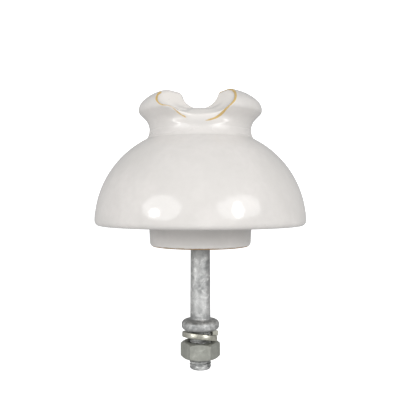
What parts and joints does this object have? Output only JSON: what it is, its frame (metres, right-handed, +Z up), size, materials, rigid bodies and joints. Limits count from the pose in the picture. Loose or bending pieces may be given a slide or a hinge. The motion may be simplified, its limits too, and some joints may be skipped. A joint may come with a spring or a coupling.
{
  "type": "pin insulator",
  "caption": "Glazed porcelain pin insulator with a top conductor saddle and tie-wire neck, cemented on a galvanised steel pin with collar, stud, spring washer and hex nut.",
  "frame": {"origin": "centre of the collar's underside, the seat that stands on the crossarm", "axes": "+Z up along the pin towards the head; +Y along the conductor's saddle"},
  "size_m": [0.1449, 0.145, 0.1913],
  "materials": {
    "glaze": "glossy off-white glaze, thin and amber along the saddle's edges, unglazed at the foot",
    "sand": "coarse fired grit",
    "bitumen": "satin black bituminous coat",
    "cement": "matt Portland cement",
    "cork": "pressed cork",
    "galvanised_pin": "hot-dip galvanised, mottled",
    "spring_steel": "plated spring steel, satin",
    "galvanised_nut": "galvanised, dull grey-green"
  },
  "bodies": {
    "insulator": {"porcelain_body": "glaze", "sand_band": "sand", "bore_bitumen_coat": "bitumen", "cement_fill": "cement", "pin_bitumen_coat": "bitumen", "cushion_pad": "cork", "mouth_seal": "bitumen", "steel_pin": "galvanised_pin"},
    "washer": {"spring_washer": "spring_steel"},
    "nut": {"hex_nut": "galvanised_nut"}
  },
  "joints": [
    {"name": "washer_slide", "type": "slide", "parent": "insulator", "child": "washer", "axis": [0, 0, -1], "range_m": [0, 0.017]},
    {"name": "nut_spin", "type": "hinge", "parent": "washer", "child": "nut", "pos_m": [0, 0, -0.0135], "axis": [0, 0, -1], "range_deg": [0, 3060]}
  ],
  "couplings": [
    {"joint": "washer_slide", "follows": "nut_spin", "m_per_rad": 0.0003183}
  ]
}
